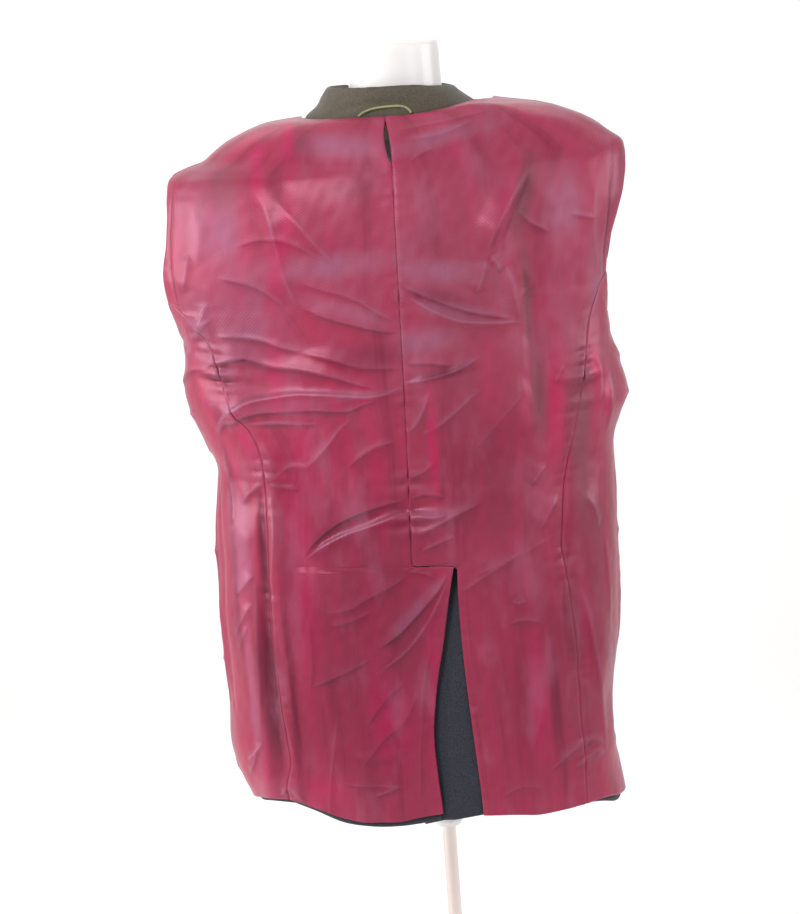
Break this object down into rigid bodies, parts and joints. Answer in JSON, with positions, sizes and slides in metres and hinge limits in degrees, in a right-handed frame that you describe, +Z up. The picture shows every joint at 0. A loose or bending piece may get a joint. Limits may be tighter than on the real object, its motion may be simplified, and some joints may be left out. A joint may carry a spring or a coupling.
{
  "type": "blazer turned inside out on a dress form and stand",
  "caption": "Lined blazer turned inside out, with its sleeves left inside, standing on a smooth limbless dress form with a pole and a round base.",
  "frame": {"origin": "centre of the base plate's underside, on the floor, under the pole's axis", "axes": "+Z up along the pole, -Y towards the back of the blazer, +Y towards its front, +X towards the side with the lower hem"},
  "size_m": [0.5054, 0.3155, 1.56],
  "materials": {
    "lining": "shot twill lining, crimson with a mauve sheen",
    "wool": "charcoal wool cloth, fine melange",
    "collar": "olive brushed wool cloth",
    "braid": "twisted cord",
    "form": "smooth satin white",
    "pole": "polished tube",
    "base": "satin"
  },
  "bodies": {
    "root": {"base_plate": "base", "base_boss": "base", "pole": "pole", "form_socket": "form", "dress_form": "form", "lining_back_left": "lining", "lining_side_left": "lining", "lining_front_left": "lining", "facing_left": "wool", "lapel_left": "wool", "shell_back_left": "wool", "shell_side_left": "wool", "shell_front_left": "wool", "sleeve_top_left": "wool", "sleeve_under_left": "wool", "lining_back_right": "lining", "lining_side_right": "lining", "lining_front_right": "lining", "facing_right": "wool", "lapel_right": "wool", "shell_back_right": "wool", "shell_side_right": "wool", "shell_front_right": "wool", "sleeve_top_right": "wool", "sleeve_under_right": "wool", "vent_underlap": "wool", "collar": "collar", "hanger_loop": "braid"}
  },
  "joints": []
}
